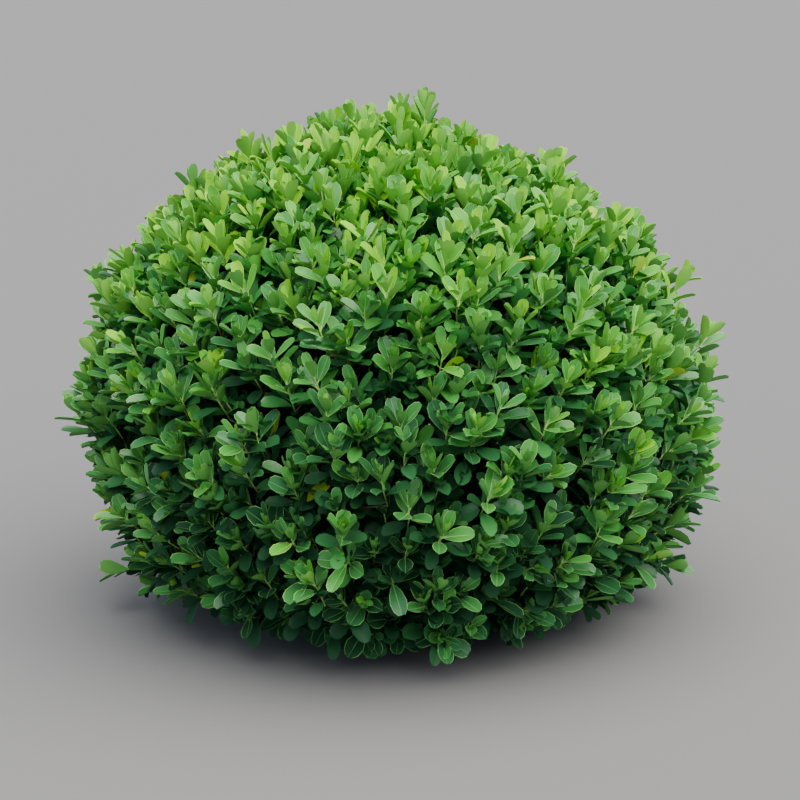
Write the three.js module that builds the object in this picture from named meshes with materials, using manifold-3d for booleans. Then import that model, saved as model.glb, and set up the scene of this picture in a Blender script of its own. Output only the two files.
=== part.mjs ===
// A clipped box bush (boxwood ball) rooted in level ground: a short stem with a root flare, twelve
// boughs that fan out from it, and twelve masses of foliage that together make one broad, clipped
// ball. Millimetres, +Z up, +X to the right and -Y towards the viewer. The origin is the middle of
// the flat cut under the stem, at ground level.

import * as THREE from "three";
import { mergeVertices } from "three/addons/utils/BufferGeometryUtils.js";
import Module from "manifold-3d";

const wasm = await Module();
wasm.setup();

// Crown: its clipped outline, leaf tip to leaf tip.
const CROWN_WIDTH = 560;
const CROWN_HEIGHT = 446;
const WIDEST_AT = 196; // height of the widest level, where the heart of the crown lies
const FOOT_SHARE = 0.62; // reach of the lowest leaves, as a share of the widest
const UPPER_FULLNESS = 2.02; // superellipse power, where 2 is an ellipse and more is squarer
const LOWER_FULLNESS = 2.5;
const GROUND_CLEARANCE = 5; // under the lowest leaves

// Where the clipping left the outline full or slack. Azimuth runs from +X towards +Y.
const LUMPS = [
  { azimuth: 180, elevation: 2, spread: 28, rise: 0.03 }, // full left side
  { azimuth: 180, elevation: 48, spread: 20, rise: -0.015 }, // slack left shoulder
  { azimuth: -4, elevation: 46, spread: 24, rise: -0.05 }, // slacker right shoulder
  { azimuth: -2, elevation: -16, spread: 30, rise: 0.03 }, // full right side
  { azimuth: 178, elevation: -38, spread: 20, rise: -0.03 }, // slack low on the left
  { azimuth: 95, elevation: 30, spread: 30, rise: 0.02 }, // full shoulder at the back
  { azimuth: -95, elevation: 12, spread: 30, rise: 0.015 }, // full front
];

// Shoots that outgrew the clipping. Reach is a share of the outline.
const STRAY_SHOOTS = [
  { azimuth: -25, elevation: 84, reach: 1.05 }, // tuft at the top
  { azimuth: -140, elevation: 82, reach: 1.03 },
  { azimuth: 183, elevation: -27, reach: 1.09 }, // low shoot on the left
];

// Wood.
const STEM_HEIGHT = 108;
const STEM_RADIUS = 17;
const STEM_TIP_RADIUS = 10.5;
const STEM_LEAN = 7; // how far the tip leans to the right
const FLARE_RADIUS = 9; // added by the root flare at the ground
const FLARE_HEIGHT = 13; // over which the flare fades by two thirds
const BUTTRESSES = 5;
const BUTTRESS_RELIEF = 2.6;
const STEM_SIDES = 15;
const STEM_RINGS = 7;
const BOUGH_RADIUS = 6.4;
const BOUGH_TIP_RADIUS = 3.8;
const LEADER_RADIUS = 8.6;
const LEADER_TIP_RADIUS = 4.6;
const BOUGH_LEAVES = { out: 42, up: 20 }; // bend where it has left the stem, from its start
const BOUGH_ENTERS = { in: 24, down: 8 }; // bend before it enters its mass, from its tip
const BOUGH_SIDES = 7;
const BOUGH_RINGS = 5;
const LEADER_BEND = new THREE.Vector3(5, 4, 0);
const CLEAR = 0.3; // between pieces that meet

// Masses of foliage, by the direction in which each lies from the heart of the crown.
// Fork is the height at which their boughs leave the stem.
const RINGS = [
  { name: "top", count: 1, elevation: 90, turn: 0, leaves: 0x5d9c3a, fork: 102 },
  { name: "upper", count: 5, elevation: 34, turn: -90, leaves: 0x4a8a37, fork: 94 },
  { name: "lower", count: 6, elevation: -18, turn: -60, leaves: 0x33722f, fork: 68 },
];
const HOLLOW_SHARE = 0.5; // bare inside of the crown, as a share of the outline
const HOLLOW_SIDES = 14;
const HOLLOW_RINGS = 6;
const CORE_DEPTH = 19; // from the outline down to the dense core
const CORE_DOME = 6; // how much deeper a core lies at its rim than at its middle
const SEAM = 0.6; // from a core's side to the limit of its mass
const CORE_FOOT = 26; // height of the cores' undersides
const CORE_FACETS = 4; // subdivision of the crown's core
const STEM_STUB = 7; // bare end of a mass's own stem, between its bough and its core
const STEM_IN_CORE = 40; // how far that stem runs into the core before it forks

// Shoots and leaves. The leaves are larger than life, so that few of them cover the crown.
const SHOOTS = 138;
const SHOOTS_DOWN_TO = 50; // degrees below the heart
const SHOOT_LENGTH = 34;
const SHOOT_RISE = 0.25; // how strongly shoots turn up towards the light
const SHOOT_RADIUS = 2;
const SHOOT_ROOM = 6; // kept by a shoot from the limits of its mass and from the ground
const TWIG_GAIN = 0.42; // power by which a twig's radius grows with the shoots that it carries
const TIP_SCATTER = 9; // how far a shoot's tip strays from even spacing
const LEAF_PAIRS = [
  { below: 2, angle: 40, length: 36 }, // below the shoot's tip, and from the way it points
  { below: 8, angle: 64, length: 48 },
  { below: 13, angle: 72, length: 52 },
];
const LEAF_WIDTH_SHARE = 0.56;
const LEAF_WIDEST_AT = 0.64; // along the leaf from its root
const LEAF_THICKNESS = 1.5;
const LEAF_CUP = 1.8; // how far the middle of the blade sinks below its edges
const LEAF_ROOM = [
  { size: 1, angle: 1, turn: 0 },
  { size: 0.95, angle: 0.85, turn: 0.5 },
  { size: 0.9, angle: 0.85, turn: -0.5 },
  { size: 0.8, angle: 0.6, turn: 0.2 },
]; // shares by which a leaf gives way until it has room
const PAIR_SCATTER = 0.2; // radians, round the shoot
const ANGLE_SCATTER = 7; // degrees
const LENGTH_SCATTER = 0.1; // share
const LEAF_SET_OFF = 0.4; // from the middle of the shoot to the root of a leaf
const LEAF_OVERHANG = 20; // of the end leaves past the tip of the shoot
const OUTLINE_SLACK = 5; // how far a leaf may pass the clipped outline

const SHOOT_SEED = 11;
const FOLIAGE_SEED = 200;

const DEGREE = Math.PI / 180;
const UP = new THREE.Vector3(0, 0, 1);
const HEART = new THREE.Vector3(0, 0, WIDEST_AT);
const GOLDEN_ANGLE = Math.PI * (3 - Math.sqrt(5));

function seeded(seed) {
  let state = seed;
  return () => {
    state = (state + 0x6d2b79f5) | 0;
    let mixed = Math.imul(state ^ (state >>> 15), 1 | state);
    mixed = (mixed + Math.imul(mixed ^ (mixed >>> 7), 61 | mixed)) ^ mixed;
    return ((mixed ^ (mixed >>> 14)) >>> 0) / 4294967296;
  };
}

// Either way from 0, up to reach.
function stray(random, reach) {
  return (random() * 2 - 1) * reach;
}

function direction(azimuth, elevation) {
  const level = Math.cos(elevation * DEGREE);
  return new THREE.Vector3(
    level * Math.cos(azimuth * DEGREE),
    level * Math.sin(azimuth * DEGREE),
    Math.sin(elevation * DEGREE),
  );
}

const LUMP_DIRECTIONS = LUMPS.map((lump) => direction(lump.azimuth, lump.elevation));
const UPPER_REACH = CROWN_HEIGHT - WIDEST_AT;
const LOWER_REACH = WIDEST_AT / (1 - FOOT_SHARE ** LOWER_FULLNESS) ** (1 / LOWER_FULLNESS);

// Distance from the heart of the crown to its clipped outline.
function outline(towards) {
  const level = Math.hypot(towards.x, towards.y) / (CROWN_WIDTH / 2);
  const power = towards.z > 0 ? UPPER_FULLNESS : LOWER_FULLNESS;
  const upright = Math.abs(towards.z) / (towards.z > 0 ? UPPER_REACH : LOWER_REACH);
  const plain = (level ** power + upright ** power) ** (-1 / power);
  const lumpy = LUMPS.reduce((share, lump, i) => {
    const apart = towards.angleTo(LUMP_DIRECTIONS[i]) / (lump.spread * DEGREE);
    return share + lump.rise * Math.exp(-apart * apart);
  }, 1);
  return plain * lumpy;
}

// A closed geometry as a solid.
function solid(geometry) {
  const bare = geometry.clone();
  bare.deleteAttribute("normal");
  bare.deleteAttribute("uv");
  const merged = mergeVertices(bare, 1e-4);
  return new wasm.Manifold(
    new wasm.Mesh({
      numProp: 3,
      vertProperties: new Float32Array(merged.attributes.position.array),
      triVerts: new Uint32Array(merged.index.array),
    }),
  );
}

// A solid as a geometry with flat faces.
function geometryOf(made) {
  const mesh = made.getMesh();
  const shape = new THREE.BufferGeometry();
  shape.setAttribute("position", new THREE.BufferAttribute(new Float32Array(mesh.vertProperties), 3));
  shape.setIndex(new THREE.BufferAttribute(new Uint32Array(mesh.triVerts), 1));
  const faceted = shape.toNonIndexed();
  faceted.computeVertexNormals();
  return faceted;
}

// Moves each vertex of a geometry to where place puts it.
function reshape(geometry, place) {
  const position = geometry.attributes.position;
  const vertex = new THREE.Vector3();
  for (let i = 0; i < position.count; i += 1) {
    place(vertex.fromBufferAttribute(position, i));
    position.setXYZ(i, vertex.x, vertex.y, vertex.z);
  }
  return geometry;
}

// The stem's middle line, which leans over more and more towards its tip.
function stemAxis(height) {
  const share = height / STEM_HEIGHT;
  return new THREE.Vector3(STEM_LEAN * share * share, 0, height);
}

function stemRadius(height) {
  const taper = THREE.MathUtils.lerp(STEM_RADIUS, STEM_TIP_RADIUS, height / STEM_HEIGHT);
  return taper + FLARE_RADIUS * Math.exp(-height / FLARE_HEIGHT);
}

// The stem, turned on a lathe, with buttresses round its root flare. Grown is added all round.
function stemGeometry(grown) {
  const top = STEM_HEIGHT + grown;
  const profile = [new THREE.Vector2(0, 0)];
  for (let ring = 0; ring <= STEM_RINGS; ring += 1) {
    const height = top * (ring / STEM_RINGS) ** 1.5;
    profile.push(new THREE.Vector2(stemRadius(height) + grown, height));
  }
  profile.push(new THREE.Vector2(0, top));
  const turned = new THREE.LatheGeometry(profile, STEM_SIDES).rotateX(Math.PI / 2);
  return reshape(turned, (vertex) => {
    const height = vertex.z;
    const reach = Math.hypot(vertex.x, vertex.y);
    const angle = Math.atan2(vertex.y, vertex.x);
    const relief = BUTTRESS_RELIEF * Math.exp(-height / FLARE_HEIGHT) * Math.cos(BUTTRESSES * angle);
    const axis = stemAxis(height);
    const scale = reach > 0 ? (reach + relief) / reach : 1;
    vertex.set(vertex.x * scale + axis.x, vertex.y * scale + axis.y, height);
  });
}

// A round limb that tapers along a curve: a cylinder bent onto it.
function limbGeometry(curve, startRadius, endRadius) {
  const frames = curve.computeFrenetFrames(BOUGH_RINGS, false);
  const straight = new THREE.CylinderGeometry(1, 1, 1, BOUGH_SIDES, BOUGH_RINGS);
  return reshape(straight, (vertex) => {
    const share = vertex.y + 0.5;
    const ring = Math.round(share * BOUGH_RINGS);
    const radius = THREE.MathUtils.lerp(startRadius, endRadius, share);
    const offset = frames.normals[ring]
      .clone()
      .multiplyScalar(vertex.x * radius)
      .addScaledVector(frames.binormals[ring], -vertex.z * radius);
    vertex.copy(curve.getPointAt(share)).add(offset);
  });
}

// A straight three-sided twig between two points.
function twig(from, to, startRadius, endRadius) {
  const along = to.clone().sub(from);
  const geometry = new THREE.CylinderGeometry(endRadius, startRadius, along.length(), 3, 1);
  const turn = new THREE.Quaternion().setFromUnitVectors(
    new THREE.Vector3(0, 1, 0),
    along.clone().normalize(),
  );
  return geometry.applyQuaternion(turn).translate(...from.clone().lerp(to, 0.5).toArray());
}

// One spoon-shaped leaf of eight faces, from its root along a direction, with its upper side
// turned to face. It is an octahedron whose corners are the root, the tip, the two widest points
// and the middle of the blade above and below.
function leaf(root, along, face, length) {
  const side = new THREE.Vector3().crossVectors(face, along).normalize();
  const above = new THREE.Vector3().crossVectors(along, side).normalize();
  const blade = new THREE.Matrix4().makeBasis(along, side, above).setPosition(root);
  const half = (length * LEAF_WIDTH_SHARE) / 2;
  return reshape(new THREE.OctahedronGeometry(1, 0), (vertex) => {
    const onBlade = new THREE.Vector3(
      vertex.x < -0.5 ? 0 : vertex.x > 0.5 ? length : length * LEAF_WIDEST_AT,
      vertex.y * half,
      (vertex.z * LEAF_THICKNESS) / 2 - Math.abs(vertex.z) * LEAF_CUP,
    );
    vertex.copy(onBlade.applyMatrix4(blade));
  });
}

// The masses: one over the heart and two rings round it.
function layOutMasses() {
  const masses = [];
  for (const ring of RINGS) {
    for (let i = 0; i < ring.count; i += 1) {
      const azimuth = ring.turn + (360 * i) / ring.count;
      masses.push({
        name: ring.count > 1 ? `${ring.name}_${i + 1}` : ring.name,
        axis: direction(azimuth, ring.elevation),
        azimuth,
        colour: ring.leaves,
        fork: ring.fork,
        shoots: [],
      });
    }
  }
  for (const mass of masses) {
    mass.limits = masses
      .filter((other) => other !== mass)
      .map((other) => mass.axis.clone().sub(other.axis).normalize());
  }
  return masses;
}

// A point, seen from the heart, keeps to a mass's space if it is this side of every limit between
// it and a neighbour, inside the outline that its shoot was let grow to and above the ground.
function inside(mass, point, reach) {
  const towards = point.clone().normalize();
  return (
    mass.limits.every((limit) => limit.dot(point) > CLEAR) &&
    point.length() < outline(towards) * reach + OUTLINE_SLACK &&
    point.z > GROUND_CLEARANCE - WIDEST_AT
  );
}

function keepsInside(mass, geometry, reach) {
  const position = geometry.attributes.position;
  const vertex = new THREE.Vector3();
  for (let i = 0; i < position.count; i += 1) {
    if (!inside(mass, vertex.fromBufferAttribute(position, i), reach)) return false;
  }
  return true;
}

// A shoot's end, moved clear of the limits of its mass and of the ground.
function within(mass, point) {
  for (const limit of mass.limits) {
    const short = SHOOT_ROOM - limit.dot(point);
    if (short > 0) point.addScaledVector(limit, short);
  }
  point.z = Math.max(point.z, GROUND_CLEARANCE + SHOOT_ROOM - WIDEST_AT);
  return point;
}

// The way a shoot points where it meets the outline: outwards, turned up to the light.
function heading(towards) {
  return towards.clone().addScaledVector(UP, SHOOT_RISE).normalize();
}

// Shoots evenly over the crown by the golden angle, and the stray ones, each in its own mass.
function layOutShoots(masses, random) {
  const lowest = -Math.sin(SHOOTS_DOWN_TO * DEGREE);
  const places = [];
  for (let i = 0; i < SHOOTS; i += 1) {
    const height = 1 + ((lowest - 1) * (i + 0.5)) / SHOOTS;
    const azimuth = (i * GOLDEN_ANGLE) / DEGREE;
    places.push({ towards: direction(azimuth, Math.asin(height) / DEGREE), reach: 1 });
  }
  for (const shoot of STRAY_SHOOTS) {
    places.push({ towards: direction(shoot.azimuth, shoot.elevation), reach: shoot.reach });
  }
  for (const { towards, reach } of places) {
    const mass = masses.reduce((a, b) => (b.axis.dot(towards) > a.axis.dot(towards) ? b : a));
    const way = heading(towards);
    const end = towards.clone().multiplyScalar(outline(towards) * reach);
    if (reach === 1) {
      end.x += stray(random, TIP_SCATTER);
      end.y += stray(random, TIP_SCATTER);
      end.z += stray(random, TIP_SCATTER);
    }
    const tip = within(mass, end.addScaledVector(way, -LEAF_OVERHANG));
    const root = within(mass, tip.clone().addScaledVector(way, -SHOOT_LENGTH));
    mass.shoots.push({ tip, root, reach, way: tip.clone().sub(root).normalize() });
  }
}

// The leaves of a mass, in opposite pairs along each shoot, each pair turned a quarter from the
// last. The end pairs of all shoots come first, and a leaf that has no room is left out.
function growLeaves(mass, random) {
  const leaves = [];
  for (const shoot of mass.shoots) {
    shoot.across = new THREE.Vector3().crossVectors(shoot.way, UP);
    if (shoot.across.lengthSq() < 0.01) shoot.across.set(1, 0, 0);
    shoot.across.normalize().applyAxisAngle(shoot.way, random() * Math.PI);
  }
  LEAF_PAIRS.forEach((pair, number) => {
    for (const shoot of mass.shoots) {
      for (const half of [0, 1]) {
        const turn = (number * Math.PI) / 2 + half * Math.PI + stray(random, PAIR_SCATTER);
        const out = shoot.across.clone().applyAxisAngle(shoot.way, turn);
        const angle = pair.angle + stray(random, ANGLE_SCATTER);
        const length = pair.length * (1 + stray(random, LENGTH_SCATTER));
        const node = shoot.tip.clone().addScaledVector(shoot.way, -pair.below);
        for (const way of LEAF_ROOM) {
          const along = shoot.way
            .clone()
            .applyAxisAngle(
              out.clone().applyAxisAngle(shoot.way, way.turn + Math.PI / 2),
              angle * way.angle * DEGREE,
            );
          const root = node.clone().addScaledVector(along, LEAF_SET_OFF);
          const blade = leaf(root, along, shoot.way, length * way.size);
          if (keepsInside(mass, blade, shoot.reach) && hasRoom(solid(blade), leaves)) {
            leaves.push(solid(blade));
            break;
          }
        }
      }
    }
  });
  return leaves;
}

function hasRoom(made, others) {
  return others.every((other) => made.intersect(other).isEmpty());
}

// The rule of growth: a stem forks in two, between the shoots that lie furthest apart, and each
// fork again, until each twig carries one shoot. The forks are evenly spaced on the way out.
function fork(from, shoots, twigs) {
  const radius = SHOOT_RADIUS * shoots.length ** TWIG_GAIN;
  if (shoots.length === 1) {
    twigs.push(twig(from, shoots[0].root, radius, SHOOT_RADIUS));
    return;
  }
  const middle = new THREE.Vector3();
  for (const shoot of shoots) middle.addScaledVector(shoot.root, 1 / shoots.length);
  const steps = Math.ceil(Math.log2(shoots.length)) + 1;
  const joint = from.clone().lerp(middle, 1 / steps);
  const farthest = (point) =>
    shoots.reduce((a, b) =>
      b.root.distanceTo(point) > a.root.distanceTo(point) ? b : a,
    ).root;
  const one = farthest(middle);
  const other = farthest(one);
  const near = shoots.filter((s) => s.root.distanceTo(one) <= s.root.distanceTo(other));
  const far = shoots.filter((s) => !near.includes(s));
  twigs.push(twig(from, joint, radius, radius * 0.9));
  fork(joint, near, twigs);
  fork(joint, far, twigs);
}

// The dense inside of the whole crown, deeper towards the limits of each mass, as a shell.
function crownCore(masses) {
  const ball = new THREE.IcosahedronGeometry(1, CORE_FACETS);
  const outer = solid(
    reshape(ball, (vertex) => {
      const towards = vertex.clone().normalize();
      const nearest = masses
        .map((mass) => mass.axis.angleTo(towards))
        .sort((a, b) => a - b);
      const rim = nearest[0] / nearest[1];
      const reach = outline(towards) - CORE_DEPTH - CORE_DOME * rim * rim;
      vertex.copy(towards.multiplyScalar(reach));
    }),
  );
  const profile = [];
  for (let i = 0; i <= HOLLOW_RINGS; i += 1) {
    const turn = ((Math.PI / 2) * i) / HOLLOW_RINGS;
    profile.push(
      new THREE.Vector2(
        Math.sin(turn) * HOLLOW_SHARE * (CROWN_WIDTH / 2),
        Math.cos(turn) * HOLLOW_SHARE * UPPER_REACH,
      ),
    );
  }
  const waist = HOLLOW_SHARE * FOOT_SHARE * (CROWN_WIDTH / 2);
  profile.push(new THREE.Vector2(waist, -WIDEST_AT), new THREE.Vector2(0, -WIDEST_AT));
  const hollow = new THREE.LatheGeometry(profile.reverse(), HOLLOW_SIDES).rotateX(Math.PI / 2);
  const under = new THREE.BoxGeometry(CROWN_WIDTH, CROWN_WIDTH, WIDEST_AT);
  under.translate(0, 0, CORE_FOOT - WIDEST_AT - WIDEST_AT / 2);
  return outer.subtract(solid(hollow)).subtract(solid(under));
}

// A block that covers all that lies past one limit of a mass.
function pastLimit(limit) {
  const size = CROWN_WIDTH * 2;
  const block = new THREE.BoxGeometry(size, size, size);
  const turn = new THREE.Quaternion().setFromUnitVectors(UP, limit);
  const middle = limit.clone().multiplyScalar(SEAM - size / 2);
  return solid(block.applyQuaternion(turn).translate(...middle.toArray()));
}

// Where a mass's own stem starts: on the mass's axis, just short of its core. The hollow is an
// ellipse above the heart and a cone below it.
function stemFoot(mass) {
  const level = Math.hypot(mass.axis.x, mass.axis.y) / (CROWN_WIDTH / 2);
  const narrowing = (1 - FOOT_SHARE) / WIDEST_AT;
  const hollow =
    mass.axis.z > 0
      ? HOLLOW_SHARE / Math.hypot(level, mass.axis.z / UPPER_REACH)
      : HOLLOW_SHARE / (level - mass.axis.z * narrowing * HOLLOW_SHARE);
  return mass.axis.clone().multiplyScalar(hollow - STEM_STUB);
}

// The middle line of a mass's bough, from inside the stem to the foot of the mass's own stem.
function boughCurve(mass) {
  const start = stemAxis(mass.fork);
  const end = stemFoot(mass).add(HEART);
  if (mass.name === "top") {
    return new THREE.CatmullRomCurve3([start, start.clone().lerp(end, 0.5).add(LEADER_BEND), end]);
  }
  const out = direction(mass.azimuth, 0);
  const leave = start.clone().addScaledVector(out, BOUGH_LEAVES.out);
  const enter = end.clone().addScaledVector(mass.axis, -BOUGH_ENTERS.in);
  leave.z += BOUGH_LEAVES.up;
  enter.z -= BOUGH_ENTERS.down;
  return new THREE.CatmullRomCurve3([start, leave, enter, end]);
}

function boughGeometry(mass) {
  const [start, end] =
    mass.name === "top" ? [LEADER_RADIUS, LEADER_TIP_RADIUS] : [BOUGH_RADIUS, BOUGH_TIP_RADIUS];
  const whole = solid(limbGeometry(boughCurve(mass), start, end));
  return geometryOf(whole.subtract(solid(stemGeometry(CLEAR))));
}

// One mass of foliage, fused into one solid, seen from the heart of the crown.
function foliageGeometry(mass, core, random) {
  const curve = boughCurve(mass);
  const way = curve.getTangentAt(1);
  const foot = curve.getPointAt(1).addScaledVector(way, CLEAR).sub(HEART);
  const inCore = foot.clone().addScaledVector(way, STEM_STUB + STEM_IN_CORE);
  const stubRadius = mass.name === "top" ? LEADER_TIP_RADIUS : BOUGH_TIP_RADIUS;
  const stub = new THREE.LineCurve3(foot, inCore);
  const pieces = [limbGeometry(stub, stubRadius, stubRadius)];
  fork(inCore, mass.shoots, pieces);
  for (const shoot of mass.shoots) {
    pieces.push(twig(shoot.root, shoot.tip, SHOOT_RADIUS, SHOOT_RADIUS * 0.75));
  }
  const block = mass.limits.reduce((left, limit) => left.subtract(pastLimit(limit)), core);
  const parts = [...pieces.map(solid), ...growLeaves(mass, random)];
  const fused = parts.reduce((joined, part) => joined.add(part), block);
  const whole = fused.decompose().reduce((a, b) => (b.volume() > a.volume() ? b : a));
  return geometryOf(whole);
}

function named(name, geometry, colour, roughness) {
  const material = new THREE.MeshStandardMaterial({ color: colour, roughness, metalness: 0 });
  const mesh = new THREE.Mesh(geometry, material);
  mesh.name = name;
  return mesh;
}

const bush = new THREE.Group();
const wood = new THREE.Group();
const crown = new THREE.Group();
crown.position.copy(HEART);
bush.add(wood, crown);

const BARK = 0x8c7d66;
const masses = layOutMasses();
layOutShoots(masses, seeded(SHOOT_SEED));
const core = crownCore(masses);
wood.add(named("trunk", stemGeometry(0), BARK, 0.9));
masses.forEach((mass, i) => {
  wood.add(named(`bough_${mass.name}`, boughGeometry(mass), BARK, 0.88));
  const foliage = foliageGeometry(mass, core, seeded(FOLIAGE_SEED + i));
  crown.add(named(`foliage_${mass.name}`, foliage, mass.colour, 0.5));
});

export default bush;
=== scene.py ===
import math
import random

import bpy
import numpy as np
from mathutils import Matrix, Vector, noise


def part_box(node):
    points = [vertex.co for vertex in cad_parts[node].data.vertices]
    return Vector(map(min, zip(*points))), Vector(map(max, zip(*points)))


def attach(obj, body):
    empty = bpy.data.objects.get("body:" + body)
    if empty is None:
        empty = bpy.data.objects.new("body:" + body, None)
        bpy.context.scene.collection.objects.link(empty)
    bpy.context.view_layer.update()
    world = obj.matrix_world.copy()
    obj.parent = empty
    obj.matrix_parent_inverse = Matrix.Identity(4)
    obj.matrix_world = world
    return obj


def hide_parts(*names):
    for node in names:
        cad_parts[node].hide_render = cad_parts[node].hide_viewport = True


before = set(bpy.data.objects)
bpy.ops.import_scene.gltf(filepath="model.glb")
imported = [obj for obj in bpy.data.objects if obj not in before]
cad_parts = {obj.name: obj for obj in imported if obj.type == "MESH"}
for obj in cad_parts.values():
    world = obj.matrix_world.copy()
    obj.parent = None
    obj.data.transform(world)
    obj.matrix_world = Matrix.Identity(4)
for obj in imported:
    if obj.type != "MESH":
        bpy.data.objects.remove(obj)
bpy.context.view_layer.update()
bpy.ops.object.select_all(action="DESELECT")

# Main stem
# The short trunk of an old box bush, hidden inside the crown: grey-brown wood under thin bark that
# splits into fine upright flakes. It grows out of level ground on a flare of five buttresses.
MM = 0.001
STEM_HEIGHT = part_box("trunk")[1].z
STEM_RADIUS = 17 * MM
STEM_TIP_RADIUS = 10.5 * MM
STEM_LEAN = 7 * MM
FLARE_RADIUS = 9 * MM
FLARE_HEIGHT = 13 * MM
BUTTRESSES = 5
BUTTRESS_RELIEF = 2.6 * MM
STEM_SIDES = 60
STEM_RINGS = 16
FLARE_CROWDING = 1.5  # above 1, the rings lie closer in the flare
BARK_FLAKE = 3.2 * MM
FLAKE_SQUEEZE = 0.3  # makes flakes about three times as tall as they are wide
FLAKE_DEPTH = 0.4 * MM
FURROW_SHARE = 0.28  # of a flake's pattern, from its edge inwards
LICHEN_PATCH = 14 * MM
LICHEN_FADE = (0.5, 0.72)  # of the noise, between bare bark and full lichen
BARK_RELIEF = 1.1 * MM


def linear(hex_colour):
    channels = [int(hex_colour[i : i + 2], 16) / 255 for i in (1, 3, 5)]
    return [c / 12.92 if c <= 0.04045 else ((c + 0.055) / 1.055) ** 2.4 for c in channels] + [1.0]


def add_node(material, kind, settings=None, **links):
    tree = material.node_tree
    node = tree.nodes.new(kind)
    for key, value in (settings or {}).items():
        if hasattr(node, key):
            setattr(node, key, value)
        else:
            node.inputs[key].default_value = value
    for key, socket in links.items():
        tree.links.new(socket, node.inputs[key.replace("_", " ")])
    return node


def new_material(name):
    material = bpy.data.materials.new(name)
    material.use_nodes = True
    return material, material.node_tree.nodes["Principled BSDF"]


def flaky_bark(name, furrow, plate, lichen):
    """Thin box bark: corky plates a few millimetres wide between darker furrows, with grey lichen.
    Dry and matt, so the eye reads it as rough wood beside the shining leaves."""
    material, shader = new_material(name)
    links = material.node_tree.links
    place = add_node(material, "ShaderNodeTexCoord")
    drawn_up = add_node(material, "ShaderNodeMapping", Vector=place.outputs["Object"])
    drawn_up.inputs["Scale"].default_value = (1, 1, FLAKE_SQUEEZE)
    flakes = add_node(
        material,
        "ShaderNodeTexVoronoi",
        {"feature": "DISTANCE_TO_EDGE", "Scale": 1 / BARK_FLAKE},
        Vector=drawn_up.outputs["Vector"],
    )
    stains = add_node(
        material,
        "ShaderNodeTexNoise",
        {"Scale": 1 / LICHEN_PATCH, "Detail": 4.0},
        Vector=place.outputs["Object"],
    )
    plates = add_node(material, "ShaderNodeValToRGB", Fac=flakes.outputs["Distance"])
    plates.color_ramp.elements[0].color = linear(furrow)
    plates.color_ramp.elements[1].color = linear(plate)
    plates.color_ramp.elements[1].position = FURROW_SHARE
    patches = add_node(material, "ShaderNodeValToRGB", Fac=stains.outputs["Fac"])
    patches.color_ramp.elements[0].position = LICHEN_FADE[0]
    patches.color_ramp.elements[1].position = LICHEN_FADE[1]
    # of a colour mix, inputs 0, 6 and 7 are the factor and the two colours, and output 2 the result
    mix = add_node(material, "ShaderNodeMix", {"data_type": "RGBA"})
    links.new(patches.outputs["Color"], mix.inputs[0])
    links.new(plates.outputs["Color"], mix.inputs[6])
    mix.inputs[7].default_value = linear(lichen)
    relief = add_node(
        material,
        "ShaderNodeBump",
        {"Strength": 0.7, "Distance": FLAKE_DEPTH},
        Height=flakes.outputs["Distance"],
    )
    links.new(mix.outputs[2], shader.inputs["Base Color"])
    links.new(relief.outputs["Normal"], shader.inputs["Normal"])
    shader.inputs["Roughness"].default_value = 0.88
    return material


def weather_bark(piece, flake, relief):
    """Raises the bark's flakes from a finished limb and lays its lowest points on the ground."""
    texture = bpy.data.textures.new(piece.name + "_flakes", "CLOUDS")
    texture.noise_scale = flake
    texture.noise_depth = 2
    bpy.context.view_layer.objects.active = piece
    rough = piece.modifiers.new("flakes", "DISPLACE")
    rough.texture = texture
    rough.texture_coords = "LOCAL"
    rough.strength = relief
    bpy.ops.object.modifier_apply(modifier="flakes")
    for vertex in piece.data.vertices:
        vertex.co.z = max(vertex.co.z, 0.0)
    bpy.ops.object.shade_smooth()


def stem_axis(height):
    return Vector((STEM_LEAN * (height / STEM_HEIGHT) ** 2, 0, height))


def stem_radius(height):
    taper = STEM_RADIUS + (STEM_TIP_RADIUS - STEM_RADIUS) * height / STEM_HEIGHT
    return taper + FLARE_RADIUS * math.exp(-height / FLARE_HEIGHT)


bpy.ops.mesh.primitive_circle_add(vertices=STEM_SIDES, radius=stem_radius(0), fill_type="NGON")
trunk = bpy.context.object
trunk.name = "trunk_bark"
bpy.ops.object.mode_set(mode="EDIT")
bpy.ops.mesh.select_all(action="SELECT")
heights = [STEM_HEIGHT * (ring / STEM_RINGS) ** FLARE_CROWDING for ring in range(STEM_RINGS + 1)]
for low, high in zip(heights, heights[1:]):
    rise = stem_axis(high) - stem_axis(low)
    bpy.ops.mesh.extrude_region_move(TRANSFORM_OT_translate={"value": rise})
    narrower = stem_radius(high) / stem_radius(low)
    bpy.ops.transform.resize(value=(narrower, narrower, 1))
bpy.ops.mesh.select_all(action="SELECT")
bpy.ops.mesh.normals_make_consistent(inside=False)
bpy.ops.object.mode_set(mode="OBJECT")
for vertex in trunk.data.vertices:
    middle = stem_axis(vertex.co.z)
    spoke = vertex.co - middle
    turn = math.atan2(spoke.y, spoke.x)
    swell = BUTTRESS_RELIEF * math.exp(-vertex.co.z / FLARE_HEIGHT) * math.cos(BUTTRESSES * turn)
    vertex.co = middle + spoke * (1 + swell / max(spoke.length, STEM_TIP_RADIUS))
weather_bark(trunk, BARK_FLAKE, BARK_RELIEF)
OLD_BARK = flaky_bark("Box bark, old and flaking", "#4A4034", "#8E8069", "#A3A08C")
trunk.data.materials.append(OLD_BARK)
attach(trunk, "root")
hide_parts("trunk")

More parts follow.
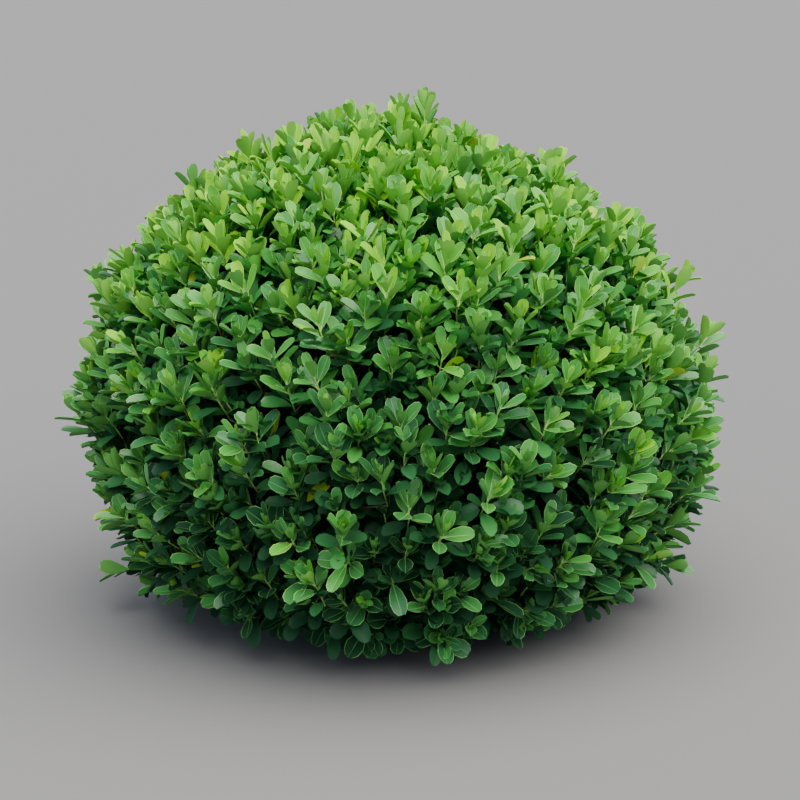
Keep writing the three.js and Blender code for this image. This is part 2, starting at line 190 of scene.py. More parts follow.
# Boughs
# The leader and eleven boughs that fan out from the stem into the masses of foliage. Each is one
# tapering limb of smoother, browner wood, which ends where it enters its mass.
CROWN_WIDTH = 560 * MM
CROWN_HEIGHT = 446 * MM
WIDEST_AT = 196 * MM
FOOT_SHARE = 0.62
UPPER_FULLNESS = 2.02
LOWER_FULLNESS = 2.5
LUMPS = (
    # azimuth, elevation and spread in degrees, and rise as a share of the outline
    (180, 2, 28, 0.03),
    (180, 48, 20, -0.015),
    (-4, 46, 24, -0.05),
    (-2, -16, 30, 0.03),
    (178, -38, 20, -0.03),
    (95, 30, 30, 0.02),
    (-95, 12, 30, 0.015),
)
HEART = Vector((0, 0, WIDEST_AT))
HOLLOW_SHARE = 0.5  # bare inside of the crown, as a share of the outline
STEM_STUB = 7 * MM
MASS_RINGS = (
    # name, number of masses, elevation and first azimuth in degrees, height of the fork in mm
    ("top", 1, 90, 0, 102),
    ("upper", 5, 34, -90, 94),
    ("lower", 6, -18, -60, 68),
)
BOUGH_RADII = (6.4 * MM, 3.8 * MM)
LEADER_RADII = (8.6 * MM, 4.6 * MM)
LEADER_SWAY = (5, 4, 0)  # mm, halfway up
BOUGH_OUT, BOUGH_UP = 42, 20  # mm from its fork to its first bend
BOUGH_BACK, BOUGH_DROP = 24, 8  # mm from its end to its second bend
BOUGH_STEPS = 22
BOUGH_SIDES = 10
WELDED_WITHIN = 0.001 * MM
YOUNG_RELIEF = 0.6  # of the old bark's
UP = Vector((0, 0, 1))


def direction(azimuth, elevation):
    level = math.cos(math.radians(elevation))
    return Vector(
        (
            level * math.cos(math.radians(azimuth)),
            level * math.sin(math.radians(azimuth)),
            math.sin(math.radians(elevation)),
        )
    )


LUMP_DIRECTIONS = [direction(azimuth, elevation) for azimuth, elevation, _, _ in LUMPS]
UPPER_REACH = CROWN_HEIGHT - WIDEST_AT
LOWER_REACH = WIDEST_AT / (1 - FOOT_SHARE**LOWER_FULLNESS) ** (1 / LOWER_FULLNESS)


def outline(towards):
    """Distance from the heart of the crown to its clipped outline."""
    level = math.hypot(towards.x, towards.y) / (CROWN_WIDTH / 2)
    power = UPPER_FULLNESS if towards.z > 0 else LOWER_FULLNESS
    upright = abs(towards.z) / (UPPER_REACH if towards.z > 0 else LOWER_REACH)
    share = 1.0
    for (_, _, spread, rise), lump in zip(LUMPS, LUMP_DIRECTIONS):
        apart = towards.angle(lump) / math.radians(spread)
        share += rise * math.exp(-apart * apart)
    return share * (level**power + upright**power) ** (-1 / power)


def stem_foot(axis):
    """Where a mass's own stem starts, just inside the edge of the crown's bare hollow, which is an
    ellipse above the heart and a cone below it."""
    level = math.hypot(axis.x, axis.y) / (CROWN_WIDTH / 2)
    if axis.z > 0:
        hollow = HOLLOW_SHARE / math.hypot(level, axis.z / UPPER_REACH)
    else:
        narrowing = -axis.z * (1 - FOOT_SHARE) / WIDEST_AT
        hollow = HOLLOW_SHARE / (level + narrowing * HOLLOW_SHARE)
    return HEART + axis * (hollow - STEM_STUB)


def rounded(corners, steps):
    """Points on a smooth curve through the corners, a centripetal spline."""
    ends = [corners[0] * 2 - corners[1]] + corners + [corners[-1] * 2 - corners[-2]]
    points = []
    for a, b, c, d in zip(ends, ends[1:], ends[2:], ends[3:]):
        t0, t1 = 0.0, (b - a).length ** 0.5
        t2 = t1 + (c - b).length ** 0.5
        t3 = t2 + (d - c).length ** 0.5
        for i in range(steps):
            t = t1 + (t2 - t1) * i / steps
            ab = a.lerp(b, (t - t0) / (t1 - t0))
            bc = b.lerp(c, (t - t1) / (t2 - t1))
            cd = c.lerp(d, (t - t2) / (t3 - t2))
            before = ab.lerp(bc, (t - t0) / (t2 - t0))
            after = bc.lerp(cd, (t - t1) / (t3 - t1))
            points.append(before.lerp(after, (t - t1) / (t2 - t1)))
    return points + [corners[-1].copy()]


def tapered(points, thick, thin):
    last = len(points) - 1
    return points, [thick + (thin - thick) * i / last for i in range(last + 1)]


def tubes(name, routes, sides):
    """One mesh of round limbs along routes, each a list of points with their radii."""
    limbs = bpy.data.curves.new(name, "CURVE")
    limbs.dimensions = "3D"
    limbs.bevel_depth = 1.0
    limbs.bevel_resolution = (sides - 4) // 2
    limbs.use_fill_caps = True
    for points, radii in routes:
        spline = limbs.splines.new("POLY")
        spline.points.add(len(points) - 1)
        spline.points.foreach_set("co", [v for p in points for v in (p.x, p.y, p.z, 1.0)])
        spline.points.foreach_set("radius", list(radii))
    piece = bpy.data.objects.new(name, limbs)
    bpy.context.collection.objects.link(piece)
    bpy.ops.object.select_all(action="DESELECT")
    piece.select_set(True)
    bpy.context.view_layer.objects.active = piece
    bpy.ops.object.convert(target="MESH")
    piece = bpy.context.object
    bpy.ops.object.mode_set(mode="EDIT")
    bpy.ops.mesh.select_all(action="SELECT")
    bpy.ops.mesh.remove_doubles(threshold=WELDED_WITHIN)
    bpy.ops.object.mode_set(mode="OBJECT")
    bpy.ops.object.shade_smooth()
    return piece


def bough_route(name, azimuth, axis, height):
    start = stem_axis(height)
    end = stem_foot(axis)
    if name == "top":
        return rounded([start, start.lerp(end, 0.5) + Vector(LEADER_SWAY) * MM, end], BOUGH_STEPS)
    leave = start + direction(azimuth, 0) * BOUGH_OUT * MM + UP * BOUGH_UP * MM
    enter = end - axis * BOUGH_BACK * MM - UP * BOUGH_DROP * MM
    return rounded([start, leave, enter, end], BOUGH_STEPS)


masses = []
for ring, count, elevation, turn, height in MASS_RINGS:
    for i in range(count):
        azimuth = turn + 360 * i / count
        name = ring if count == 1 else "%s_%d" % (ring, i + 1)
        axis = direction(azimuth, elevation)
        route = bough_route(name, azimuth, axis, height * MM)
        masses.append({"name": name, "ring": ring, "axis": axis, "route": route, "shoots": []})

YOUNG_BARK = flaky_bark("Box bark, young and smoother", "#5B4F3B", "#93866A", "#8F9270")
for mass in masses:
    thick, thin = LEADER_RADII if mass["name"] == "top" else BOUGH_RADII
    bough = tubes("bough_bark_" + mass["name"], [tapered(mass["route"], thick, thin)], BOUGH_SIDES)
    weather_bark(bough, BARK_FLAKE, BARK_RELIEF * YOUNG_RELIEF)
    bough.data.materials.append(YOUNG_BARK)
    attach(bough, "root")
    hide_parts("bough_" + mass["name"])

# Twigs and shoots
# Each mass grows from one stem, which forks in two again and again, until every twig carries one
# leafy shoot. The wood is brown inside the crown, and the year's shoots are green and angular.
SHOOT_TIERS = (
    # from the outside in: number of shoots, depth in mm, pairs of leaves on each
    (840, 0, 5),
    (800, 15, 4),
    (600, 34, 4),
    (440, 58, 3),
    (320, 84, 3),
    (220, 118, 3),
)
OUTER_TIERS = 2
TIER_TURN = 9  # degrees for each mm of depth, so that no tier lies straight under another
SHOOT_SCATTER = 0.45  # of the space between shoots
TIER_SCATTER = 6 * MM
LEADING_SHARE = 0.07  # of the outermost shoots, which stand out by the reach
LEADING_REACH = 8 * MM
MOST_PROUD = 3 * MM  # how far the others may stand out
UNDERCUT = 48 * MM  # the front draws in towards the foot, where shoots are also fewer
UNDERCUT_FROM = 0.3
FOOT_GAPS = 0.6
SHOOTS_DOWN_TO = 56  # degrees below the heart
TOP_CROWDING = 0.11  # how far shoots crowd together towards the top
CLUMP = 75 * MM  # size of the soft swells in the clipped surface
CLUMP_DEPTH = 20 * MM
SHOOT_RISE = 1.8  # how far a shoot turns from outwards to upwards
TOP_RISE = 0.5  # and how much further at the top
SHOOT_STRAY = 0.4
ROOT_TURN = 0.2  # how far its root turns back to outwards
TIP_INSET = 9 * MM  # room for the leaves past the tip, inwards and back along the shoot
TIP_SETBACK = 6 * MM
INTERNODE = 7.5 * MM
SHORTEST_BENT = 2 * INTERNODE
SHOOT_RADIUS = 0.85 * MM
SHOOT_TAPER = 0.5
SHOOT_SLACK = 0.03  # how far a limb bends, as a share of its length
TWIG_GAIN = 0.33  # power by which a twig's radius grows with the shoots it carries
TWIG_TAPER = 0.9
TWIG_SLACK = 0.05
LAST_TWIG_SLACK = 0.06
TWIG_SIDES = 4
STEM_IN_MASS = 40 * MM
GROUND_CLEARANCE = 38 * MM  # of shoots
LEAST_CLEARANCE = GROUND_CLEARANCE / 2  # of bent twigs and leaf tips
STRAY_SHOOTS = (
    # azimuth and elevation in degrees, reach as a share of the outline, rise, pairs of leaves
    (-25, 84, 1.07, 1.8, 6),
    (-70, 87, 1.05, 1.8, 6),
    (30, 83, 1.05, 1.8, 6),
    (-120, 78, 1.03, 1.8, 6),
    (175, 21, 1.04, 1.3, 5),
    (-8, 24, 1.04, 1.2, 5),
    (-2, 12, 1.03, 1.0, 5),
    (185, -32, 1.13, 0.7, 5),
    (172, -37, 1.1, 0.4, 5),
    (198, -38, 1.08, 0.5, 4),
    (-4, -33, 1.08, 0.6, 5),
    (-24, -42, 1.05, 0.5, 4),
    (62, -35, 1.07, 0.7, 5),
    (118, 16, 1.03, 1.3, 5),
    (80, 40, 1.03, 1.6, 5),
)
STRAY_INTERNODE = 11 * MM
GOLDEN_ANGLE = 180 * (3 - math.sqrt(5))
growth = random.Random(7)


def strayed(reach):
    return Vector([growth.uniform(-reach, reach) for _ in range(3)])


def grow_shoot(towards, tier, depth, pairs, reach=1.0, rise=SHOOT_RISE, internode=INTERNODE):
    """Puts a shoot in the mass that it belongs to, from its root to its tip."""
    mass = max(masses, key=lambda m: m["axis"].dot(towards))
    end = HEART + towards * outline(towards) * reach
    way = (towards + UP * rise * (1 + towards.z * TOP_RISE) + strayed(SHOOT_STRAY)).normalized()
    length = internode * (pairs - 0.5)
    tip = end - towards * (depth + TIP_INSET) - way * TIP_SETBACK
    tip.z = max(tip.z, GROUND_CLEARANCE)
    root = tip - (way * (1 - ROOT_TURN) + towards * ROOT_TURN).normalized() * length
    root.z = max(root.z, GROUND_CLEARANCE)
    way = (tip - root).normalized()
    shoot = {"root": root, "tip": tip, "way": way, "tier": tier, "pairs": pairs, "depth": depth}
    mass["shoots"].append(shoot)


lowest = -math.sin(math.radians(SHOOTS_DOWN_TO))
for tier, (count, depth, pairs) in enumerate(SHOOT_TIERS):
    spacing = math.sqrt(2 * math.pi * (1 - lowest) / count)
    for i in range(count):
        height = 1 + (lowest - 1) * (i + 0.5) / count
        towards = direction(i * GOLDEN_ANGLE + depth * TIER_TURN, math.degrees(math.asin(height)))
        towards = (towards + strayed(spacing * SHOOT_SCATTER) + UP * TOP_CROWDING).normalized()
        clump = noise.noise((HEART + towards * outline(towards)) / CLUMP)
        inwards = depth * MM + (0.5 - clump) * CLUMP_DEPTH + growth.uniform(-1, 1) * TIER_SCATTER
        inwards = max(inwards, -MOST_PROUD)
        under = max(-towards.z - UNDERCUT_FROM, 0)
        if tier == 0 and growth.random() < LEADING_SHARE:
            inwards -= LEADING_REACH
        if tier < OUTER_TIERS and growth.random() < FOOT_GAPS * under:
            continue
        grow_shoot(towards, tier, inwards + UNDERCUT * under * max(-towards.y, 0), pairs)
for azimuth, elevation, reach, rise, pairs in STRAY_SHOOTS:
    grow_shoot(direction(azimuth, elevation), 0, 0, pairs, reach, rise, STRAY_INTERNODE)


def bent(start, end, slack):
    length = (end - start).length
    if length < SHORTEST_BENT:
        return [start, end]
    middle = start.lerp(end, 0.5) + strayed(slack * length)
    middle.z = max(middle.z, LEAST_CLEARANCE)
    return [start, middle, end]


def fork(start, shoots, twigs):
    """Forks a stem between the shoots that lie furthest apart, until each twig carries one."""
    radius = SHOOT_RADIUS * len(shoots) ** TWIG_GAIN
    if len(shoots) == 1:
        twigs.append(tapered(bent(start, shoots[0]["root"], LAST_TWIG_SLACK), radius, radius))
        return
    middle = sum((shoot["root"] for shoot in shoots), Vector()) / len(shoots)
    steps = math.ceil(math.log2(len(shoots))) + 1
    joint = start.lerp(middle, 1 / steps)
    one = max(shoots, key=lambda s: (s["root"] - middle).length)["root"]
    other = max(shoots, key=lambda s: (s["root"] - one).length)["root"]
    near = [s for s in shoots if (s["root"] - one).length <= (s["root"] - other).length]
    far = [s for s in shoots if s not in near]
    twigs.append(tapered(bent(start, joint, TWIG_SLACK), radius, radius * TWIG_TAPER))
    fork(joint, near, twigs)
    fork(joint, far, twigs)


wood_routes = []
shoot_routes = []
for mass in masses:
    foot = mass["route"][-1]
    way = (foot - mass["route"][-2]).normalized()
    inside = foot + way * (STEM_STUB + STEM_IN_MASS)
    thin = (LEADER_RADII if mass["name"] == "top" else BOUGH_RADII)[1]
    wood_routes.append(tapered([foot, foot.lerp(inside, 0.5), inside], thin, thin))
    fork(inside, mass["shoots"], wood_routes)
    for shoot in mass["shoots"]:
        stem = bent(shoot["root"], shoot["tip"], SHOOT_SLACK)
        shoot_routes.append(tapered(stem, SHOOT_RADIUS, SHOOT_RADIUS * SHOOT_TAPER))

# Brown twigs: thin, dry bark with no pattern that would show at their width.
TWIG_BARK, shader = new_material("Box twig bark")
shader.inputs["Base Color"].default_value = linear("#7A6A4C")
shader.inputs["Roughness"].default_value = 0.8
# Green shoots: a waxy skin, paler than the leaves, with a soft shine.
SHOOT_SKIN, shader = new_material("Green shoot skin")
shader.inputs["Base Color"].default_value = linear("#98C15C")
shader.inputs["Roughness"].default_value = 0.5
for name, routes, material in (
    ("twigs", wood_routes, TWIG_BARK),
    ("green_shoots", shoot_routes, SHOOT_SKIN),
):
    piece = tubes(name, routes, TWIG_SIDES)
    piece.data.materials.append(material)
    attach(piece, "root")

# Leaves
# Small spoon-shaped box leaves, leathery and waxed, in opposite pairs that turn a quarter from one
# pair to the next. The midrib and the thin rim are pale, the underside is paler and dull, and the
# young leaves at each tip are small, upright and yellow-green.
LEAF_LENGTH = 27 * MM
INNER_LEAF_LENGTH = 32 * MM  # hidden ones, each in place of more
RIM_WIDTH = 0.4 * MM / LEAF_LENGTH
MIDRIB_WIDTH = 0.45 * MM / LEAF_LENGTH
RIB_TAPER = 1.3  # share of the midrib's width at the root, which falls by 1 towards the tip
RIM_LIMIT = 0.4  # of half the leaf's width, where it is narrow
RIB_LIMIT = 0.3
LEAF_THICKNESS = 0.3 * MM / LEAF_LENGTH
# distance along the leaf and half its width there, as shares of its length
PETIOLE = ((0.0, 0.024), (0.11, 0.03))
LEAF_ROWS = ((0.22, 0.095), (0.43, 0.185), (0.67, 0.24), (0.89, 0.192), (0.995, 0.09))
INNER_ROWS = ((0.3, 0.14), (0.64, 0.23), (0.95, 0.09))
TIP_NOTCH = 0.01
UNDERSIDE_SET_BACK = 0.01
UNDERSIDE_WIDTH = 0.96
BLADE, PALE, UNDERSIDE = range(3)
BACKED_PAIRS = 4  # first pairs with rims and undersides, on the outermost shoots
FINE_PAIRS = 2  # first pairs with rims, on the tier under them
THICKET_TIER = 3  # from here inwards leaves have the inner length
# the real grain, under half a millimetre, is too fine to show and is drawn this coarse
LEATHER_GRAIN = 2.5 * MM
LEATHER_DEPTH = 0.25 * MM
# ranges of a leaf's size and width, as shares of the usual leaf's, and of its form
SIZE_RANGE = (0.85, 1.1)
WIDTH_RANGE = (0.82, 1.14)
SPOON_RANGE = (-0.6, 0.9)
CREASE_RANGE = (0.5, 1.15)
SIZE_AT_FOOT = 1.1
SIZE_LOST_BY_TOP = 0.14
YOUNGEST_WIDTH = 0.72  # the first pair is slender, and each next one wider
WIDTH_GAIN = 0.12
SPOON_SPREAD = 0.5  # how much wider a spoon of 1 gets towards the tip
SPOON_PIVOT = 0.6  # where along the leaf its width stays
CUP = 1.8  # how far the rim bends down again from the crease
# how its place varies: the lean in degrees, the turn round the shoot and the curl in radians
SPREAD_RANGE = (0.8, 1.25)
LEAN_SCATTER = 7
TURN_SCATTER = 0.2
CURL_SCATTER = 0.2
FACES_UP = 0.2
FACE_SCATTER = 0.25
NODE_OFFSET = 0.4  # of an internode, by which pairs after the first sit nearer the tip
TOP_NODE = 0.02  # the first pair's place below the tip
LEAST_CURL = 0.05  # keeps the arc that a leaf is bent to within reach
# how many greens darker: by the pair (age), by this depth (age and painted shade), at the foot (painted
# shade)
AGE_BY_PAIR = 0.75
AGE_AND_SHADE_DEPTH = 12 * MM
SHADE_AT_FOOT = 2.75
# Near the top leaves darken less by the pair and by depth: partly younger leaves, partly painted light.
TOP_KEEPS_PAIRS_YOUNG_AND_LIT = 0.4  # how much less of the first two at the top
TOP_KEEPS_DEPTHS_YOUNG_AND_LIT = 0.65
SHOOT_AGE_SCATTER = 0.5
LEAF_AGE_SCATTER = 0.65
NODES = (
    # from the tip down: share of a full leaf, angle to the shoot in degrees, lengthwise curl
    (0.52, 17, -0.3),
    (0.82, 28, -0.2),
    (1.0, 36, 0.0),
    (1.0, 42, 0.15),
    (1.0, 50, 0.3),
    (0.95, 58, 0.4),
)
LEAF_GREENS = (
    # name, colour, roughness and shine, from the youngest to the oldest; as they are dealt out,
    # the darker ones also paint shade deep in the crown and at its foot
    ("Leaf, new growth", "#86CE22", 0.52, 0.16),
    ("Leaf, light", "#5AB03B", 0.42, 0.28),
    ("Leaf, fresh", "#4B9D43", 0.33, 0.48),
    ("Leaf, full green", "#3F8A45", 0.29, 0.6),
    ("Leaf, deep green", "#2E693C", 0.33, 0.36),
    ("Leaf, old and shaded", "#1F462C", 0.42, 0.15),
)
YELLOWED = ("Leaf, yellowed before it falls", "#A9CE38", 0.5, 0.4)
YELLOWED_SHARE = 0.003
RIM_GREENS_AND_HIGHLIGHTS = (
    # one for every two greens, paler than the blade: partly the leaf's own pale rim and midrib,
    # partly a painted highlight and a painted glow of light through the thin edge
    ("Leaf rim and rib, young", "#BBE36C", 0.5, 0.4),
    ("Leaf rim and rib, grown", "#9ED873", 0.5, 0.4),
    ("Leaf rim and rib, old", "#6CB35C", 0.5, 0.4),
)
UNDERSIDE_GREENS = (
    # one for the two youngest greens, one for the rest; paler than the top, partly the leaf's own dull
    # underside and partly a painted glow of light through the leaf
    ("Leaf underside, young", "#80C64C", 0.6, 0.3),
    ("Leaf underside, grown", "#5DA248", 0.6, 0.3),
)
FIRST_RIM = len(LEAF_GREENS)
FIRST_UNDERSIDE = FIRST_RIM + len(RIM_GREENS_AND_HIGHLIGHTS)
YELLOWED_SLOT = FIRST_UNDERSIDE + len(UNDERSIDE_GREENS)
# columns of a leaf's row, whose order grow_leaves gives
SHAPE_COLUMNS = range(12, 17)
TINT_COLUMN, YELLOWED_COLUMN = 17, 18


def leaf_pattern(rows, rimmed, backed):
    """A flat leaf one unit long with its root at 0: points, and faces with what each one shows."""
    points, faces = [], []

    def add_row(along, half, depth=0.0):
        first = len(points)
        if rimmed and not depth:
            rim = min(RIM_WIDTH, half * RIM_LIMIT)
            rib = min(MIDRIB_WIDTH / 2 * (RIB_TAPER - along), half * RIB_LIMIT)
            across = (-half, rim - half, -rib, rib, half - rim, half)
        else:
            across = (-half, 0.0, half)
        notch = TIP_NOTCH if (along, half) == rows[-1] else 0.0
        points.extend((along - notch * (1 - abs(x) / half), x, depth) for x in across)
        return list(range(first, len(points)))

    def blade(root, grid, shows, turned):
        for near, far in zip(grid, grid[1:]):
            for i in range(len(far) - 1):
                face = (near[i], far[i], far[i + 1], near[i + 1])
                faces.append((face[::-1] if turned else face, shows(i)))
        last = len(grid[0]) - 2
        for i in range(last + 1):
            left = root[0] if 2 * i <= last else root[-1]
            right = root[-1] if 2 * i >= last else root[0]
            face = (left, grid[0][i], grid[0][i + 1]) + (() if left == right else (right,))
            faces.append((face[::-1] if turned else face, shows(i)))

    if rimmed:
        stalk = []
        for along, half in PETIOLE:
            points.extend(((along, -half, 0.0), (along, half, 0.0)))
            stalk.append((len(points) - 2, len(points) - 1))
        faces.append(((stalk[0][0], stalk[1][0], stalk[1][1], stalk[0][1]), PALE))
        root = stalk[1]
    else:
        points.append((0.0, 0.0, 0.0))
        root = (0,)
    grid = [add_row(along, half) for along, half in rows]
    blade(root, grid, lambda i: PALE if rimmed and i in (0, 2, 4) else BLADE, False)
    if backed:
        points.append((PETIOLE[1][0], 0.0, -LEAF_THICKNESS))
        root = (len(points) - 1,)
        grid = [
            add_row(along - UNDERSIDE_SET_BACK, half * UNDERSIDE_WIDTH, -LEAF_THICKNESS)
            for along, half in rows
        ]
        blade(root, grid, lambda i: UNDERSIDE, True)
    fours = [(face, shown) for face, shown in faces if len(face) == 4]
    threes = [(face, shown) for face, shown in faces if len(face) == 3]
    shown = np.array([shown for _, shown in fours + threes])
    return np.array(points), np.array([f for f, _ in fours]), np.array([f for f, _ in threes]), shown


PATTERNS = {
    "backed": leaf_pattern(LEAF_ROWS, rimmed=True, backed=True),
    "fine": leaf_pattern(LEAF_ROWS, rimmed=True, backed=False),
    "plain": leaf_pattern(LEAF_ROWS, rimmed=False, backed=False),
    "inner": leaf_pattern(INNER_ROWS, rimmed=False, backed=False),
}


def leaf_kind(tier, number):
    """The outermost leaves have a rim, a midrib and an underside, and hidden ones fewer faces."""
    if tier == 0 and number < BACKED_PAIRS:
        return "backed"
    if tier == 1 and number < FINE_PAIRS:
        return "fine"
    return "plain" if tier < OUTER_TIERS else "inner"


def leaf_age_and_shade(number, depth, light):
    """How many greens darker than new growth a leaf is: it ages down its shoot, it darkens with depth
    under the leaves outside it, partly with age and partly as painted shade, and towards the foot of the
    crown as painted shade. Near the top, painted light keeps it lighter."""
    by_pair = number * (AGE_BY_PAIR - TOP_KEEPS_PAIRS_YOUNG_AND_LIT * light)
    by_depth_and_shade = depth / AGE_AND_SHADE_DEPTH * (1 - TOP_KEEPS_DEPTHS_YOUNG_AND_LIT * light)
    return by_pair + by_depth_and_shade + (1 - light) * SHADE_AT_FOOT


def grow_leaves(mass):
    """A row for each leaf on a mass's shoots, by kind of leaf: its root, direction, side and upper
    face, its length, width, spoon, crease and curl, its tint, and whether it has yellowed."""
    leaves = {kind: [] for kind in PATTERNS}
    for shoot in mass["shoots"]:
        way = shoot["way"]
        across = way.orthogonal().normalized()
        across.rotate(Matrix.Rotation(growth.uniform(0, math.pi), 3, way))
        # The shoot's height stands in for the light it gets: through the tint it paints light at the top
        # and shade at the foot.
        light = shoot["tip"].z / CROWN_HEIGHT
        vigour = growth.gauss(0, SHOOT_AGE_SCATTER)
        spread = growth.uniform(*SPREAD_RANGE)
        for number in range(shoot["pairs"] + 1):
            share, angle, curl = NODES[min(number, len(NODES) - 1)]
            down = max(number - NODE_OFFSET, TOP_NODE) / (shoot["pairs"] + NODE_OFFSET)
            node = shoot["tip"].lerp(shoot["root"], down)
            for half in (0, 1):
                turn = number * math.pi / 2 + half * math.pi + growth.gauss(0, TURN_SCATTER)
                out = across.copy()
                out.rotate(Matrix.Rotation(turn, 3, way))
                lean = math.radians(angle * spread + growth.gauss(0, LEAN_SCATTER))
                along = way * math.cos(lean) + out * math.sin(lean)
                face = (way + UP * FACES_UP + strayed(FACE_SCATTER)).normalized()
                side = face.cross(along).normalized()
                above = along.cross(side).normalized()
                size = growth.uniform(*SIZE_RANGE) * (SIZE_AT_FOOT - SIZE_LOST_BY_TOP * light)
                thicket = shoot["tier"] >= THICKET_TIER
                length = INNER_LEAF_LENGTH if thicket else LEAF_LENGTH * share * size
                if (node + along * length).z < LEAST_CLEARANCE:
                    continue
                # Painted shade: the tint darkens by depth and towards the foot, on top of the leaf's age
                # and random tone.
                age_and_shade = leaf_age_and_shade(number, shoot["depth"], light) + vigour
                age_and_shade += growth.gauss(0, LEAF_AGE_SCATTER)
                tint = min(max(int(age_and_shade), 0), len(LEAF_GREENS) - 1)
                slender = min(YOUNGEST_WIDTH + WIDTH_GAIN * number, 1)
                width = growth.uniform(*WIDTH_RANGE) * slender
                spoon = growth.uniform(*SPOON_RANGE)
                crease = growth.uniform(*CREASE_RANGE)
                yellowed = growth.random() < YELLOWED_SHARE
                curled = curl + growth.gauss(0, CURL_SCATTER)
                row = (*node, *along, *side, *above, length, width, spoon, crease, curled, tint, yellowed)
                leaves[leaf_kind(shoot["tier"], number)].append(row)
    return {kind: np.array(rows) for kind, rows in leaves.items()}


def bend_leaves(rows, points):
    """The points of every leaf, creased along the midrib, cupped to the rim and curled lengthwise."""
    root, along, side, above = (rows[:, None, i : i + 3] for i in (0, 3, 6, 9))
    length, wide, spoon, crease, curl = (rows[:, None, i] for i in SHAPE_COLUMNS)
    t, x, depth = (points[None, :, i] for i in range(3))
    x = x * wide * (1 + spoon * SPOON_SPREAD * (t - SPOON_PIVOT))
    curl = np.where(np.abs(curl) < LEAST_CURL, LEAST_CURL, curl)
    arc = curl * t
    lifted = depth + crease * (np.abs(x) - CUP * x**2)
    ahead = length * (np.sin(arc) / curl + lifted * np.sin(arc))
    up = length * (lifted * np.cos(arc) - (1 - np.cos(arc)) / curl)
    return root + along * ahead[..., None] + side * (length * x)[..., None] + above * up[..., None]


def leaf_mesh(name, grown):
    """One mesh of all the leaves of a mass, each face with the index of its green's material slot."""
    coordinates, quads, thirds, quad_slots, third_slots = [], [], [], [], []
    base = 0
    for kind, rows in grown.items():
        if not len(rows):
            continue
        points, four, three, shown = PATTERNS[kind]
        placed = bend_leaves(rows, points)
        count = len(rows)
        offsets = base + np.arange(count)[:, None, None] * len(points)
        tints = rows[:, [TINT_COLUMN]].astype(int)
        yellowed = rows[:, [YELLOWED_COLUMN]] > 0
        # Rim and rib faces take the pale greens: partly their own colour, partly painted highlight and
        # glow.
        slots = np.where(shown == PALE, FIRST_RIM + tints // 2, tints)
        # Undersides take the paler greens: partly their own colour, partly a painted glow of light
        # through the leaf.
        slots = np.where(shown == UNDERSIDE, FIRST_UNDERSIDE + (tints > 1), slots)
        slots = np.where(yellowed, YELLOWED_SLOT, slots)
        coordinates.append(placed.reshape(-1, 3))
        quads.append((four[None] + offsets).reshape(-1, 4))
        thirds.append((three[None] + offsets).reshape(-1, 3))
        quad_slots.append(slots[:, : len(four)].ravel())
        third_slots.append(slots[:, len(four) :].ravel())
        base += count * len(points)
    quads, thirds = np.concatenate(quads), np.concatenate(thirds)
    starts = np.concatenate((np.arange(len(quads)) * 4, quads.size + np.arange(len(thirds)) * 3))
    mesh = bpy.data.meshes.new(name)
    mesh.vertices.add(base)
    mesh.vertices.foreach_set("co", np.concatenate(coordinates).astype(np.float32).ravel())
    mesh.loops.add(quads.size + thirds.size)
    corners = np.concatenate((quads.ravel(), thirds.ravel()))
    mesh.loops.foreach_set("vertex_index", corners.astype(np.int32))
    mesh.polygons.add(len(starts))
    mesh.polygons.foreach_set("loop_start", starts.astype(np.int32))
    slots = np.concatenate(quad_slots + third_slots)
    mesh.polygons.foreach_set("material_index", slots.astype(np.int32))
    mesh.update(calc_edges=True)
    mesh.validate()
    mesh.polygons.foreach_set("use_smooth", np.ones(len(starts), bool))
    return mesh


def leaf_skin(name, colour, roughness, shine):
    """The waxed skin of a box leaf: smooth and hard, so it takes a soft shine from the sky over its
    green. Rims and ribs are thinner and paler, partly their own colour and partly a painted highlight and
    a painted glow of light through them; the underside is unwaxed, and its paler green is partly painted
    glow."""
    material, shader = new_material(name)
    shader.inputs["Base Color"].default_value = linear(colour)
    shader.inputs["Roughness"].default_value = roughness
    shader.inputs["Specular IOR Level"].default_value = shine
    place = add_node(material, "ShaderNodeTexCoord")
    leather = add_node(
        material,
        "ShaderNodeTexNoise",
        {"Scale": 1 / LEATHER_GRAIN, "Detail": 2.0},
        Vector=place.outputs["Object"],
    )
    relief = add_node(
        material,
        "ShaderNodeBump",
        {"Strength": 0.5, "Distance": LEATHER_DEPTH},
        Height=leather.outputs["Fac"],
    )
    material.node_tree.links.new(relief.outputs["Normal"], shader.inputs["Normal"])
    return material


GREENS = LEAF_GREENS + RIM_GREENS_AND_HIGHLIGHTS + UNDERSIDE_GREENS + (YELLOWED,)
LEAF_SKINS = [leaf_skin(*green) for green in GREENS]
for mass in masses:
    piece = bpy.data.objects.new("leaves_" + mass["name"], leaf_mesh("leaves", grow_leaves(mass)))
    bpy.context.collection.objects.link(piece)
    for material in LEAF_SKINS:
        piece.data.materials.append(material)
    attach(piece, "root")
    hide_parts("foliage_" + mass["name"])

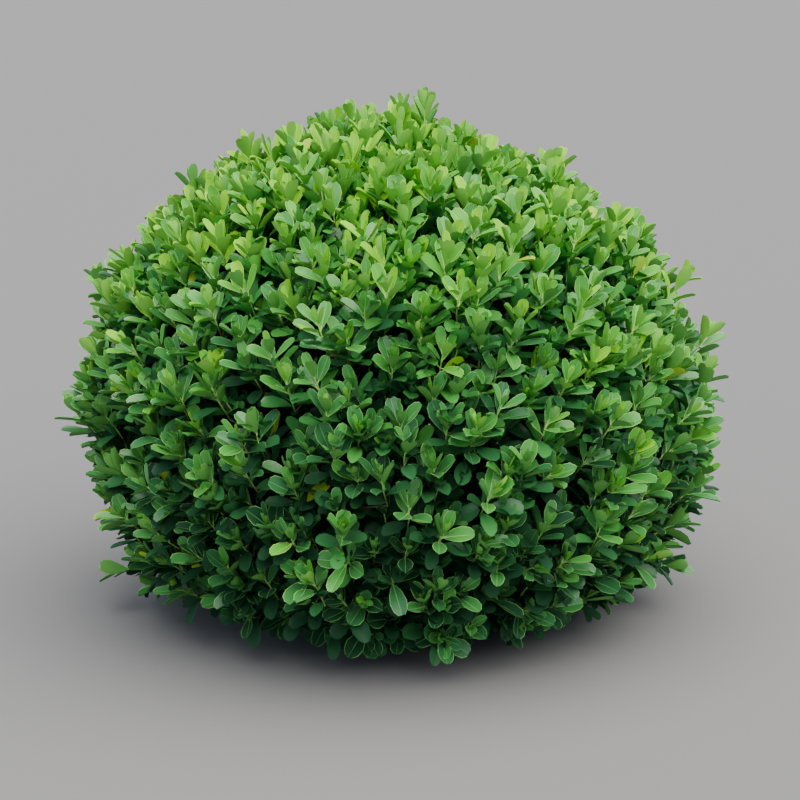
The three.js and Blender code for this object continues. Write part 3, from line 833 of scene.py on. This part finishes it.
# Floor, light and camera
# A plain pale floor and soft studio light: one wide sun overhead for the bright top, a weaker one in
# front, and a pale room. The camera looks down a little from the front, as the photograph does.
FLOOR_SIDE = 40
ROOM_STRENGTH = 0.58
CAMERA_DISTANCE = 1800 * MM
CAMERA_ABOVE = 225 * MM  # the point of the plant's axis that the distance is measured from
CAMERA_ELEVATION = math.radians(12.5)
LENS = 92.6
AIMED_AT = Vector((3.5, -8, 189)) * MM

bpy.ops.mesh.primitive_plane_add(size=FLOOR_SIDE, location=(0, 0, 0))
floor = bpy.context.object
floor.name = "floor"
# Pale paper: matt, so it shows the plant's soft shadow and no shine.
PAPER, shader = new_material("Pale studio paper")
shader.inputs["Base Color"].default_value = linear("#7C7C7E")
shader.inputs["Roughness"].default_value = 0.9
floor.data.materials.append(PAPER)

world = bpy.data.worlds.new("Pale room")
bpy.context.scene.world = world
world.use_nodes = True
room = world.node_tree.nodes["Background"]
room.inputs["Color"].default_value = linear("#C6D7F2")
room.inputs["Strength"].default_value = ROOM_STRENGTH


def soft_sun(name, direction_to, strength, spread, colour):
    """A light as even as a cloudy sky: it comes from a wide round patch of the sky."""
    sun = bpy.data.lights.new(name, "SUN")
    sun.energy = strength
    sun.angle = math.radians(spread)
    sun.color = linear(colour)[:3]
    holder = bpy.data.objects.new(name, sun)
    bpy.context.collection.objects.link(holder)
    holder.rotation_euler = Vector(direction_to).to_track_quat("Z", "Y").to_euler()


soft_sun("overhead", (0.26, -0.32, 1), strength=7.15, spread=90, colour="#FFF8EC")
soft_sun("front", (-0.5, -1, 0.5), strength=0.75, spread=50, colour="#F4F8FF")

camera = bpy.data.objects.new("camera", bpy.data.cameras.new("camera"))
bpy.context.collection.objects.link(camera)
camera.data.sensor_width = 36
camera.data.lens = LENS
back = Vector((0, -math.cos(CAMERA_ELEVATION), math.sin(CAMERA_ELEVATION))) * CAMERA_DISTANCE
camera.location = Vector((AIMED_AT.x, 0, CAMERA_ABOVE)) + back
camera.rotation_euler = (AIMED_AT - camera.location).to_track_quat("-Z", "Y").to_euler()
bpy.context.scene.camera = camera
